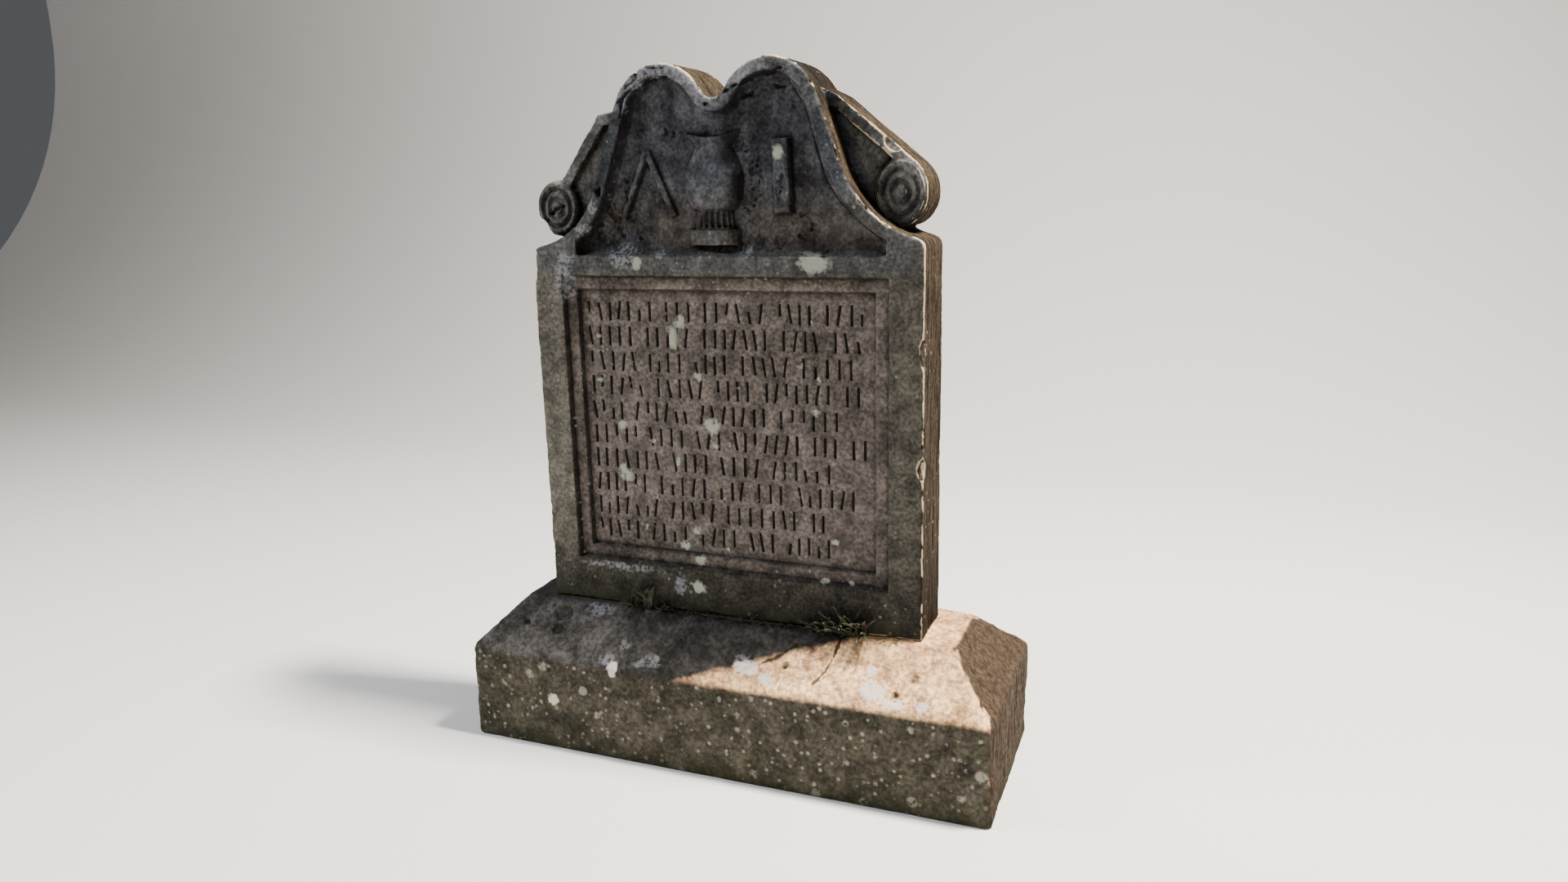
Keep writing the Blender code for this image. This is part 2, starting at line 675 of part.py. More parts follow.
def build_plinth(parts, tools, material):
    build = bmesh.new()
    bmesh.ops.create_cube(build, size=1)
    bmesh.ops.scale(build, vec=(PLINTH_LENGTH, PLINTH_DEPTH, PLINTH_SIDE_HEIGHT), verts=build.verts)
    bmesh.ops.translate(build, vec=(0, 0, PLINTH_SIDE_HEIGHT / 2), verts=build.verts)
    top = [face for face in build.faces if face.normal.z > 0.5]
    raised = bmesh.ops.extrude_face_region(build, geom=top)["geom"]
    bmesh.ops.delete(build, geom=top, context="FACES")
    seat_length = TABLET_WIDTH + 2 * SEAT_SIDE_MARGIN
    for vert in (item for item in raised if isinstance(item, bmesh.types.BMVert)):
        vert.co.x = math.copysign(seat_length / 2, vert.co.x)
        vert.co.y = SEAT_FRONT if vert.co.y < 0 else SEAT_FRONT + SEAT_DEPTH
        vert.co.z = PLINTH_HEIGHT
    worn = [edge for edge in build.edges if max(vert.co.z for vert in edge.verts) > 0]
    bmesh.ops.bevel(build, geom=worn, offset=WORN_ARRIS, segments=2, profile=0.5, affect="EDGES")
    plinth = from_bmesh("plinth", build, parts)
    plinth.data.materials.append(material)
    slope = math.atan2(SLOPE_RISE, FRONT_SLOPE_RUN)
    for i, (x, share, wide, high) in enumerate(PITS):
        spot = (x, SEAT_FRONT - FRONT_SLOPE_RUN * share, PLINTH_HEIGHT - SLOPE_RISE * share + PIT_LIFT)
        pit = hollow(f"pit_{i}", spot, (wide, high, wide * PIT_DEPTH_SHARE), (slope, 0, 0), tools)
        boolean(plinth, pit, "DIFFERENCE")
    return plinth


clear_scene()
gravestone = new_collection("gravestone")
cutters = new_collection("cutters")
cutters.hide_render = True
build_headstone(gravestone, cutters, stone("headstone_stone", (0.13, 0.115, 0.10), 0.92))
build_plinth(gravestone, cutters, stone("plinth_stone", (0.26, 0.22, 0.18), 0.92))
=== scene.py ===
# %% [markdown]
# # A weathered gravestone
# A gravestone of this kind is two blocks of sandstone: an upright tablet with a carved crown, and a
# plinth whose top is cut to slopes so that rain runs off. The solids come from CAD with crisp edges.
# Two or three hundred years of frost, lichen and dirt are added here, first in the mesh, then in the
# materials. Everything is in metres, with the carved face looking along -Y and the ground at Z 0.

# %% Load the fixed frame
import itertools
import math

import bpy
import numpy as np
from mathutils import Euler, Matrix, Vector
from mathutils.bvhtree import BVHTree


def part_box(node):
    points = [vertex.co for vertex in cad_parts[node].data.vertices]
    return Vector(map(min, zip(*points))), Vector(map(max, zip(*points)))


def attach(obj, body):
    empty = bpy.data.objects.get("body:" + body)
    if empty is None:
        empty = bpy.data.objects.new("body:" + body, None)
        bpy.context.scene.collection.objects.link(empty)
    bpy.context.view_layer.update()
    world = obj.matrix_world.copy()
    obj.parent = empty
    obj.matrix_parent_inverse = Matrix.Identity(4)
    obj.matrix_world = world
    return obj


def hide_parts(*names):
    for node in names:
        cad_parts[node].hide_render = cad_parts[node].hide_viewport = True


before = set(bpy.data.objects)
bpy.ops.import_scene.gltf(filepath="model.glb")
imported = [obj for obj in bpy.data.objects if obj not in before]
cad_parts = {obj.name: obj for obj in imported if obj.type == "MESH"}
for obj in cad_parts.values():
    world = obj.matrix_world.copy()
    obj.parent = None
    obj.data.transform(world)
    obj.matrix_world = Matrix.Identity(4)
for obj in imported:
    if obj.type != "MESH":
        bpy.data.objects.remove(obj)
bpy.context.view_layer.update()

tablet_low, tablet_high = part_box("headstone")
plinth_low, plinth_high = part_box("plinth")
FACE = tablet_low[1]
FOOT = tablet_low[2]
SEAT = plinth_high[2]

# %% [markdown]
# ## The camera
# The photograph was taken from a little to the right of the face and a little above it, close enough
# for the upright edges to lean. A camera could be aimed with a Track To constraint, but the picture is
# also rolled by about a degree, so its three axes are worked out here and set together.

# %% Place the camera
EYE = Vector((0.6988, -1.5865, 0.9253))
AIM = Vector((0.1084, -0.0845, 0.5533))
ROLL = math.radians(-1.18)
LENS = 24.45

bpy.ops.object.select_all(action="DESELECT")
bpy.ops.object.camera_add(location=EYE)
camera = bpy.context.object
camera.name = "camera"
camera.data.lens = LENS
back = (EYE - AIM).normalized()
level = Vector((0, 0, 1)).cross(back).normalized()
upright = back.cross(level)
across = level * math.cos(ROLL) + upright * math.sin(ROLL)
above = upright * math.cos(ROLL) - level * math.sin(ROLL)
camera.rotation_euler = Matrix((across, above, back)).transposed().to_euler()
bpy.context.scene.camera = camera
print("the camera stands", round((EYE - AIM).length, 2), "m from what it is aimed at")

# %% [markdown]
# ## Floor and light
# A pale floor with a swept-up back edge gives a quiet ground with no horizon. The key light stands high
# on the right, almost in line with the slab, so it brushes the tops, the right side and the plinth's
# slope and leaves the carved face in soft light from the upper left, which is what shows the carving.

# %% Make the floor
FLOOR_WIDE, FLOOR_DEEP, FLOOR_HIGH = 14, 11, 7
SWEEP = 2.2

bpy.ops.object.select_all(action="DESELECT")
bpy.ops.mesh.primitive_plane_add(size=1, location=(0, -1.5, -0.0005))
floor = bpy.context.object
floor.name = "floor"
bpy.ops.object.mode_set(mode="EDIT")
bpy.ops.transform.resize(value=(FLOOR_WIDE, FLOOR_DEEP, 1))
bpy.ops.mesh.select_all(action="DESELECT")
bpy.ops.object.mode_set(mode="OBJECT")
for edge in floor.data.edges:
    ends = [floor.data.vertices[i].co.y for i in edge.vertices]
    edge.select = min(ends) > 0
bpy.ops.object.mode_set(mode="EDIT")
bpy.ops.mesh.extrude_edges_move(TRANSFORM_OT_translate={"value": (0, 0, FLOOR_HIGH)})
bpy.ops.object.mode_set(mode="OBJECT")
bevel = floor.modifiers.new("sweep", "BEVEL")
bevel.width = SWEEP
bevel.segments = 24
bpy.ops.object.modifier_apply(modifier="sweep")
bpy.ops.object.shade_smooth()
bpy.ops.object.transform_apply(location=True, rotation=True, scale=True)
print("floor:", len(floor.data.polygons), "faces")


# %% Hang the lights
def soft_light(name, place, aim, size, power, colour):
    """A square soft box that points at aim."""
    bpy.ops.object.light_add(type="AREA", location=place)
    light = bpy.context.object
    light.name = name
    light.data.size = size
    light.data.energy = power
    light.data.color = colour
    light.rotation_euler = (Vector(place) - Vector(aim)).to_track_quat("Z", "Y").to_euler()


soft_light("key", (1.45, 0.14, 3.35), (0.1, 0.0, 0.4), 0.40, 480, (1.0, 0.90, 0.78))
soft_light("fill", (-2.4, -1.15, 2.7), (0.0, 0.0, 0.6), 0.7, 95, (0.95, 0.97, 1.0))
world = bpy.data.worlds.new("studio")
bpy.context.scene.world = world
world.use_nodes = True
sky = world.node_tree.nodes["Background"].inputs
sky["Color"].default_value = (0.9, 0.95, 1.0, 1.0)
sky["Strength"].default_value = 0.10

# %% [markdown]
# ## Shader maths as plain expressions
# A stone's finish is many masks laid over each other. Wiring a Math node by hand for each step is slow
# to read, so one small class lets a socket be added and multiplied like a number, and one method makes
# any other node.


# %% A socket that can be reckoned with
class Shade:
    """A node's output, which adds its own Math nodes when it is added, multiplied and so on."""

    def __init__(self, finish, socket):
        self.finish = finish
        self.socket = socket

    def out(self, name):
        return Shade(self.finish, self.socket.node.outputs[name])

    def worked(self, operation, first, second):
        return self.finish.node("Math", {"operation": operation}, {0: first, 1: second})

    def __add__(self, other):
        return self.worked("ADD", self, other)

    def __sub__(self, other):
        return self.worked("SUBTRACT", self, other)

    def __rsub__(self, other):
        return self.worked("SUBTRACT", other, self)

    def __mul__(self, other):
        return self.worked("MULTIPLY", self, other)

    __radd__ = __add__
    __rmul__ = __mul__


class Finish:
    """One material, built from named patterns on the stone's own coordinates."""

    def __init__(self, name):
        self.material = bpy.data.materials.new(name)
        self.material.use_nodes = True
        self.tree = self.material.node_tree
        self.shader = self.tree.nodes["Principled BSDF"]
        self.at = self.node("TexCoord", {}, {}, "Object")

    def node(self, kind, settings, sockets, output=0):
        made = self.tree.nodes.new("ShaderNode" + kind)
        for name, value in settings.items():
            setattr(made, name, value)
        for name, value in sockets.items():
            self.feed(made.inputs[name], value)
        return Shade(self, made.outputs[output])

    def feed(self, socket, value):
        if isinstance(value, Shade):
            self.tree.links.new(value.socket, socket)
        elif isinstance(value, tuple) and socket.type == "RGBA":
            socket.default_value = (*value, 1.0)
        else:
            socket.default_value = value

    def axes(self):
        parts = self.node("SeparateXYZ", {}, {"Vector": self.at})
        return parts, parts.out("Y"), parts.out("Z")

    def mottle(self, size, detail=4.0, stretch=(1, 1, 1), shift=0.0):
        """Soft blotches of that size in metres, from 0 to 1, packed tighter along stretched axes."""
        scale = tuple(s / size for s in stretch)
        moved = {"Vector": self.at, "Scale": scale, "Location": (shift, shift, shift)}
        where = self.node("Mapping", {}, moved)
        sockets = {"Vector": where, "Scale": 1.0, "Detail": detail, "Roughness": 0.6}
        return self.node("TexNoise", {}, sockets)

    def fade(self, value, low, high):
        """0 below low, 1 above high, and a smooth change between them."""
        sockets = {"Value": value, "From Min": low, "From Max": high}
        return self.node("MapRange", {"interpolation_type": "SMOOTHSTEP"}, sockets)

    def blend(self, mask, under, over):
        return self.node("Mix", {"data_type": "RGBA"}, {0: mask, 6: under, 7: over}, 2)

    def tinted(self, colour, factor):
        """The colour made darker or lighter by a pattern round 1."""
        settings = {"data_type": "RGBA", "blend_type": "MULTIPLY"}
        return self.node("Mix", settings, {0: 1.0, 6: colour, 7: factor}, 2)

    def marked(self, name):
        """What was painted on the mesh's points under that name."""
        return self.node("Attribute", {"attribute_name": name}, {}, "Fac")

    def dots(self, spacing, share, widest=0.45, rim=0.10):
        """Round spots in many widths; only that share of the cells holds one."""
        cell = self.node("TexVoronoi", {}, {"Vector": self.at, "Scale": 1 / spacing})
        lot = self.node("SeparateColor", {}, {"Color": cell.out("Color")})
        reach = self.fade(lot, 1 - share, 1.0) * widest
        return self.fade(reach - cell, 0.0, rim)

    def bump(self, height, depth):
        sockets = {"Height": height, "Distance": depth, "Strength": 1.0}
        self.feed(self.shader.inputs["Normal"], self.node("Bump", {}, sockets))

    def coat(self, piece, colour, roughness):
        """Feeds the shader, and puts the material on the piece in place of the one from CAD."""
        self.feed(self.shader.inputs["Base Color"], colour)
        self.feed(self.shader.inputs["Roughness"], roughness)
        piece.data.materials.clear()
        piece.data.materials.append(self.material)
        print(piece.name, "has", self.material.name, "with", len(self.tree.nodes), "nodes")


# %% [markdown]
# ## Working the mesh
# Frost doesn't follow edges that a modeller placed, so each block is copied from its CAD node, merged
# and remeshed to small even faces. After that its points can be moved by simple rules: waves, grain,
# pits and cracks. Displace modifiers could do this too, but arrays let one rule depend on another, such
# as wear that only shows where the stone is both sharp and soft.


# %% Copy a block as small even faces
def block_copy(node, name, voxel):
    """A merged copy of the CAD node, remeshed to even faces about as wide as voxel."""
    bpy.ops.object.select_all(action="DESELECT")
    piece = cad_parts[node].copy()
    piece.data = piece.data.copy()
    piece.name = name
    piece.parent = None
    piece.matrix_world = Matrix()
    bpy.context.scene.collection.objects.link(piece)
    bpy.context.view_layer.objects.active = piece
    piece.select_set(True)
    bpy.ops.object.mode_set(mode="EDIT")
    bpy.ops.mesh.select_all(action="SELECT")
    bpy.ops.mesh.remove_doubles(threshold=0.00002)
    bpy.ops.object.mode_set(mode="OBJECT")
    remesh = piece.modifiers.new("even", "REMESH")
    remesh.mode = "VOXEL"
    remesh.voxel_size = voxel
    bpy.ops.object.modifier_apply(modifier="even")
    print(name, "has", len(piece.data.vertices), "points")
    return piece


def points_of(piece):
    flat = np.empty(len(piece.data.vertices) * 3)
    piece.data.vertices.foreach_get("co", flat)
    return flat.reshape(-1, 3)


def normals_of(piece):
    flat = np.empty(len(piece.data.vertices) * 3)
    piece.data.vertex_normals.foreach_get("vector", flat)
    return flat.reshape(-1, 3)


def edges_of(piece):
    flat = np.empty(len(piece.data.edges) * 2, dtype=np.int32)
    piece.data.edges.foreach_get("vertices", flat)
    return flat.reshape(-1, 2)


def set_points(piece, spots):
    piece.data.vertices.foreach_set("co", np.ascontiguousarray(spots).ravel())
    piece.data.update()



# %% Patterns that the frost and the dirt follow
HEIGHTS = 8192
PRIMES = np.array((73856093, 19349663, 83492791))


def ramp(value, low, high):
    share = np.clip((value - low) / (high - low), 0, 1)
    return share * share * (3 - 2 * share)


def lumps(spots, size, seed, octaves=3):
    """Random lumps about as wide as size, mostly from -1 to 1, with finer ones laid over them."""
    chance = np.random.default_rng(seed)
    total = np.zeros(len(spots))
    for octave in range(octaves):
        heights = chance.uniform(-1.6, 1.6, HEIGHTS)
        turn = np.array(Euler(chance.uniform(0, 6, 3)).to_matrix())
        where = (spots / np.array(size)) @ turn * 2**octave
        cell = np.floor(where).astype(np.int64)
        part = where - cell
        part = part * part * (3 - 2 * part)
        for corner in itertools.product((0, 1), repeat=3):
            key = (cell + corner) @ PRIMES % HEIGHTS
            weight = np.prod(np.where(corner, part, 1 - part), axis=1)
            total += heights[key] * weight / 2**octave
    return total


def relaxed(spots, edges, rounds):
    """The stone worn smooth: each point goes half way to its neighbours' middle, so many times."""
    count = np.bincount(edges.ravel(), minlength=len(spots))
    for _ in range(rounds):
        around = np.empty_like(spots)
        for axis in range(spots.shape[1]):
            there = np.bincount(edges[:, 0], spots[edges[:, 1], axis], len(spots))
            here = np.bincount(edges[:, 1], spots[edges[:, 0], axis], len(spots))
            around[:, axis] = (there + here) / count
        spots = (spots + around) / 2
    return spots


def proud_of(spots, smoother, normals):
    """How far each point stands above the same point of a smoother surface, along its normal."""
    return np.einsum("ij,ij->i", spots - smoother, normals)


def widened(values, edges, rounds, high):
    """A mask that reaches as many points further, fading out."""
    return ramp(relaxed(values[:, None], edges, rounds)[:, 0], 0.0, high)


def off_path(spots, path):
    """How far each point lies from a line drawn on the face, in metres."""
    flat = spots[:, (0, 2)] - (0, FOOT)
    nearest = np.full(len(spots), 1.0)
    for start, end in zip(path, path[1:]):
        start, end = np.array(start), np.array(end)
        along = end - start
        share = np.clip((flat - start) @ along / (along @ along), 0, 1)
        nearest = np.minimum(nearest, np.linalg.norm(flat - start - share[:, None] * along, axis=1))
    return nearest


def patches(spots, table):
    """1 in the middle of each patch, less outwards; rows are x, height, half width, half height."""
    value = np.zeros(len(spots))
    for x, height, wide, high in table:
        far = np.hypot((spots[:, 0] - x) / wide, (spots[:, 2] - FOOT - height) / high)
        value = np.maximum(value, 1 - far / 2)
    return value


def paint(piece, name, values):
    """Keeps a value for each point of the mesh, for the material to read."""
    layer = piece.data.attributes.new(name, "FLOAT", "POINT")
    layer.data.foreach_set("value", np.clip(values, 0, 1).astype(np.float32))


# %% [markdown]
# ## The tablet
# On the real stone the arrises are worn and bitten, the sunk field is pitted, the sides show the beds
# in which the sandstone was laid down, and thin cracks run along the band of the crown. The beds lie
# parallel to the face, which is how masons set such slabs, so on the sides they are upright lines.

# %% Copy the tablet
TABLET_VOXEL = 0.0016
tablet = block_copy("headstone", "tablet", TABLET_VOXEL)

# %% [markdown]
# Even faces round off what is narrower than a few of them, and the chisel strokes are. So the faces
# along the strokes are split in four, and the points of the carving are set back on the CAD surface,
# which is found by a ray shot at each of them from the front.

# %% Find the strokes and split the faces there
PANEL_BOTTOM, PANEL_TOP, PANEL_HALF = 0.096, 0.536, 0.255
RAY_START = 0.01
carving = BVHTree.FromObject(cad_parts["headstone"], bpy.context.evaluated_depsgraph_get())


def carved_depth(spots):
    """How far behind the face the CAD surface lies at each point, as seen from the front."""
    hits = [carving.ray_cast((x, FACE - RAY_START, z), (0, 1, 0))[3] for x, z in spots[:, (0, 2)]]
    return np.array([RAY_START if hit is None else hit for hit in hits]) - RAY_START


def lettered_part(spots):
    height, depth = spots[:, 2] - FOOT, spots[:, 1] - FACE
    inside = (np.abs(spots[:, 0]) < PANEL_HALF) & (height > PANEL_BOTTOM) & (height < PANEL_TOP)
    return inside & (depth > 0.010) & (depth < 0.03)


def split_faces(piece, chosen):
    """Cuts each face that touches a chosen point in four."""
    corners = np.empty(len(piece.data.loops), dtype=np.int32)
    piece.data.loops.foreach_get("vertex_index", corners)
    touched = chosen[corners.reshape(-1, 4)].any(axis=1)
    bpy.ops.object.mode_set(mode="EDIT")
    bpy.ops.mesh.select_mode(type="FACE")
    bpy.ops.mesh.select_all(action="DESELECT")
    bpy.ops.object.mode_set(mode="OBJECT")
    piece.data.polygons.foreach_set("select", touched)
    bpy.ops.object.mode_set(mode="EDIT")
    bpy.ops.mesh.subdivide(number_cuts=1)
    bpy.ops.object.mode_set(mode="OBJECT")
    print("split", int(touched.sum()), "faces;", piece.name, "has", len(piece.data.vertices), "points")


spots = points_of(tablet)
lettered = lettered_part(spots)
deep = np.zeros(len(spots))
deep[lettered] = carved_depth(spots[lettered])
PANEL_DEPTH = np.median(deep[lettered])
split_faces(tablet, lettered & (deep > PANEL_DEPTH + 0.0002))

# %% Set the carving back on the CAD surface, the strokes a little deeper
REACH = 0.0014
edges = edges_of(tablet)
spots = points_of(tablet)
normals = normals_of(tablet)
depth = spots[:, 1] - FACE
height = spots[:, 2] - FOOT
lettered = lettered_part(spots)
carved = np.flatnonzero((normals[:, 1] < -0.3) & (depth > 0.0005) & (depth < 0.030))
true_depth = carved_depth(spots[carved])
close = np.abs(true_depth - depth[carved]) < REACH
depth[carved[close]] = true_depth[close]
stroke = np.where(lettered, np.clip(depth - PANEL_DEPTH, 0, None), 0)
deepened = 0.5 * stroke
spots[:, 1] = FACE + depth + deepened
set_points(tablet, spots)
deepest = 1000 * (stroke + deepened).max()
print("set", int(close.sum()), "points; the deepest stroke is", round(deepest, 1), "mm")

# %% [markdown]
# The faces fall into a few kinds. The carved front takes in the walls of its sinkings, which face
# inwards, and everything on the emblems. What is left over is the slab's own sides, where beds show.

# %% Tell its faces apart
FRAME_BOTTOM, FRAME_TOP, FRAME_HALF = 0.060, 0.575, 0.290
EMBLEM_BOTTOM, EMBLEM_TOP, EMBLEM_HALF = 0.60, 0.79, 0.17
CROWN_MIDDLE, CROWN_HEIGHT = 0.003, 0.68
CARVED_FROM, CARVED_TO = 0.001, 0.024
off_middle = spots[:, 0] - CROWN_MIDDLE
inwards = normals[:, 0] * off_middle + normals[:, 2] * (height - CROWN_HEIGHT) < 0
emblems = (np.abs(spots[:, 0]) < EMBLEM_HALF) & (height > EMBLEM_BOTTOM) & (height < EMBLEM_TOP)
framed = (np.abs(spots[:, 0]) < FRAME_HALF) & (height > FRAME_BOTTOM) & (height < FRAME_TOP)
crowned = (inwards | emblems) & (height > FRAME_TOP)
sunk = (depth > CARVED_FROM) & (depth < CARVED_TO) & (crowned | framed)
front = np.maximum(ramp(-normals[:, 1], 0.45, 0.8), sunk)
flank = (1 - ramp(np.abs(normals[:, 1]), 0.35, 0.75)) * ~sunk
scroll = (np.abs(spots[:, 0]) > 0.27 - 0.40 * (height - 0.60)) & (height > 0.60) & (depth > 0.008)
field = front * ramp(depth, 0.010, 0.016) * (height > 0.595) * (depth < 0.027) * ~scroll
print("flank points", int(flank.sum()), "field points", int(field.sum()))

# %% Wear its arrises and bite chips out of them
BITE_DEPTH = 0.0032
worn = relaxed(spots, edges, 8)
proud = proud_of(spots, worn, normals)
outer = widened(flank, edges, 10, 0.15)
sharp = ramp(proud, 0.0001, 0.0004) * ~lettered * (0.15 + 0.85 * outer)
arris = widened(sharp, edges, 10, 0.20) * (0.25 + 0.75 * outer)
bite = ramp(lumps(spots, 0.011, 11, 2) + lumps(spots, 0.035, 12, 2), 0.35, 1.00)
softer = relaxed(worn, edges, 8)
spots = spots + (worn - spots) * (arris * (0.25 + 0.75 * bite))[:, None]
spots = spots + (softer - spots) * (arris * bite)[:, None]
chips = ramp(lumps(spots, 0.013, 13, 2), 0.50, 1.10)
bitten = arris * outer * (0.3 + 0.7 * front) * chips * ~scroll
spots = spots - BITE_DEPTH * normals * bitten[:, None]
set_points(tablet, spots)
normals = normals_of(tablet)
print("the deepest bite is", round(1000 * BITE_DEPTH * bitten.max(), 1), "mm")

# %% Raise and sink its skin
BED_DEPTH = 0.0010
PIT_DEPTH = 0.0024
FROST_DEPTH = 0.0022
skin = -0.0006 * np.abs(lumps(spots, 0.09, 1, 2))
skin += 0.00045 * lumps(spots, 0.016, 2, 2) * (0.3 + 0.7 * front) * (1 - 0.5 * lettered)
beds = lumps(spots, (0.30, 0.0055, 0.30), 4, 2)
skin -= flank * BED_DEPTH * ramp(beds, -0.2, 0.8)
pitted = ramp(lumps(spots, 0.11, 5, 2), -0.1, 0.7)
skin -= field * pitted * PIT_DEPTH * ramp(lumps(spots, 0.010, 6, 2), 0.35, 0.9)
skin += field * 0.0006 * lumps(spots, 0.035, 7, 2)
PITTED = (
    (0.066, 0.700, 0.012, 0.040), (0.055, 0.662, 0.012, 0.010), (0.042, 0.750, 0.012, 0.014),
    (-0.075, 0.774, 0.022, 0.008), (-0.086, 0.806, 0.012, 0.010), (0.102, 0.802, 0.008, 0.010),
    (0.122, 0.803, 0.007, 0.012), (0.108, 0.690, 0.010, 0.030), (-0.150, 0.690, 0.012, 0.020),
)
frosted = ramp(patches(spots, PITTED), 0.35, 0.65) * sunk
skin -= frosted * FROST_DEPTH * ramp(lumps(spots, 0.006, 14, 2), 0.15, 0.75)
print("its skin goes", round(-1000 * skin.min(), 1), "mm in and", round(1000 * skin.max(), 1), "mm out")

# %% [markdown]
# The band of the crown has split along its inner edge, where water stood behind the skin of the stone.
# Each crack is a short list of corners on the face. Points near the line sink, and the line wavers
# because noise is added to its distance before that is compared with the crack's width. A thinner line
# runs down the crown's right flank.

# %% Open its cracks
CRACK_DEPTH = 0.0030
CRACKS = (
    (
        (-0.157, 0.821), (-0.149, 0.836), (-0.127, 0.853), (-0.117, 0.866), (-0.105, 0.869),
        (-0.076, 0.867),
    ),
    ((-0.153, 0.797), (-0.147, 0.828), (-0.120, 0.845), (-0.094, 0.852), (-0.071, 0.853)),
    (
        (-0.007, 0.811), (0.011, 0.820), (0.033, 0.832), (0.050, 0.839), (0.072, 0.847), (0.095, 0.850),
        (0.114, 0.857),
    ),
    ((0.010, 0.785), (0.029, 0.808), (0.051, 0.820), (0.077, 0.830), (0.100, 0.833), (0.122, 0.829)),
    ((-0.287, 0.667), (-0.300, 0.660), (-0.312, 0.655), (-0.314, 0.648), (-0.317, 0.641)),
)
THIN_LINE = (
    (0.122, 0.839), (0.146, 0.802), (0.162, 0.745), (0.176, 0.699), (0.196, 0.668), (0.226, 0.637),
    (0.262, 0.611),
)
crack = np.zeros(len(spots))
waver = 0.0016 * lumps(spots, 0.008, 8, 2)
broken = ramp(lumps(spots, 0.020, 15, 1), -0.7, 0.1)
for path in CRACKS:
    near = off_path(spots, path) + waver
    crack = np.maximum(crack, broken * front * (1 - ramp(np.abs(near), 0.0010, 0.0032)))
near = off_path(spots, THIN_LINE) + 0.3 * waver
crack = np.maximum(crack, 0.7 * front * (1 - ramp(np.abs(near), 0.0004, 0.0020)))
skin -= CRACK_DEPTH * crack
print("points in cracks:", int((crack > 0.5).sum()))

# %% Move the points, and keep the tablet inside its CAD box
still = ramp(height, 0.0, 0.004)
spots = spots + normals * (skin * still)[:, None]
spots = np.clip(spots, tablet_low, tablet_high)
set_points(tablet, spots)
normals = normals_of(tablet)
print("tablet from", spots.min(axis=0).round(4), "to", spots.max(axis=0).round(4))

# %% [markdown]
# What grows and gathers on the stone isn't spread evenly either. The largest lichens are placed one by
# one, and the shader only breaks up their rims. Sharp and hollow places come from the mesh itself: a
# point that stands proud of its worn neighbours is an arris, and one that lies below them is a crease,
# where shade is painted. Painted shade also goes into wide hollows, along with grime, and onto what
# faces away from the light.

# %% Note its arrises, lichens and crusts, and where shade and highlight are painted
LICHENS = (
    (-0.072, 0.485, 0.010, 0.012), (-0.085, 0.457, 0.009, 0.022), (-0.095, 0.470, 0.007, 0.006),
    (-0.191, 0.464, 0.003, 0.004), (-0.223, 0.458, 0.005, 0.004), (-0.040, 0.442, 0.004, 0.008),
    (-0.086, 0.389, 0.004, 0.005), (-0.226, 0.384, 0.006, 0.006), (-0.142, 0.417, 0.004, 0.004),
    (-0.045, 0.397, 0.007, 0.008), (0.026, 0.381, 0.005, 0.003), (0.131, 0.421, 0.004, 0.009),
    (0.161, 0.401, 0.005, 0.005), (0.167, 0.434, 0.006, 0.005), (0.152, 0.490, 0.004, 0.004),
    (0.156, 0.348, 0.009, 0.006), (-0.021, 0.317, 0.014, 0.015), (-0.018, 0.284, 0.006, 0.005),
    (-0.187, 0.310, 0.009, 0.008), (-0.130, 0.286, 0.005, 0.005), (-0.086, 0.254, 0.006, 0.008),
    (-0.190, 0.236, 0.008, 0.009), (-0.184, 0.223, 0.016, 0.011), (0.000, 0.198, 0.006, 0.005),
    (-0.030, 0.193, 0.004, 0.004), (-0.149, 0.136, 0.006, 0.006), (-0.057, 0.139, 0.008, 0.008),
    (-0.079, 0.109, 0.010, 0.009), (0.000, 0.112, 0.004, 0.005), (0.186, 0.141, 0.008, 0.010),
    (-0.049, 0.089, 0.011, 0.009), (0.171, 0.080, 0.009, 0.006), (0.214, 0.080, 0.006, 0.004),
    (0.203, 0.060, 0.007, 0.004), (-0.048, 0.045, 0.014, 0.011), (0.160, 0.578, 0.029, 0.016),
    (-0.137, 0.577, 0.009, 0.013), (0.106, 0.740, 0.010, 0.012),
)
CRUSTS = (
    (-0.262, 0.584, 0.014, 0.009), (-0.164, 0.586, 0.024, 0.015), (-0.097, 0.589, 0.009, 0.006),
    (-0.233, 0.633, 0.014, 0.009), (-0.213, 0.667, 0.010, 0.013), (-0.096, 0.862, 0.020, 0.007),
    (-0.126, 0.850, 0.012, 0.009), (-0.188, 0.066, 0.079, 0.006), (-0.084, 0.047, 0.009, 0.020),
    (0.049, 0.595, 0.009, 0.009), (-0.271, 0.557, 0.016, 0.034),
)
FRESH_CHIPS = ((0.332, 0.275, 0.012, 0.017), (0.332, 0.445, 0.008, 0.022))
worn = relaxed(spots, edges, 12)
lift = proud_of(spots, worn, normals)
wide_lift = proud_of(spots, relaxed(worn, edges, 60), normals)
# Worn arrises, with a painted highlight: the right side and the crown's tops are weighted paler.
bare_and_highlit = np.maximum(ramp(spots[:, 0], 0.12, 0.24), ramp(height, 0.80, 0.85))
# Painted shade: what faces right and down, away from the light from the upper left.
painted_side_shade = ramp(0.8 * normals[:, 0] - 0.6 * normals[:, 2], 0.12, 0.60)
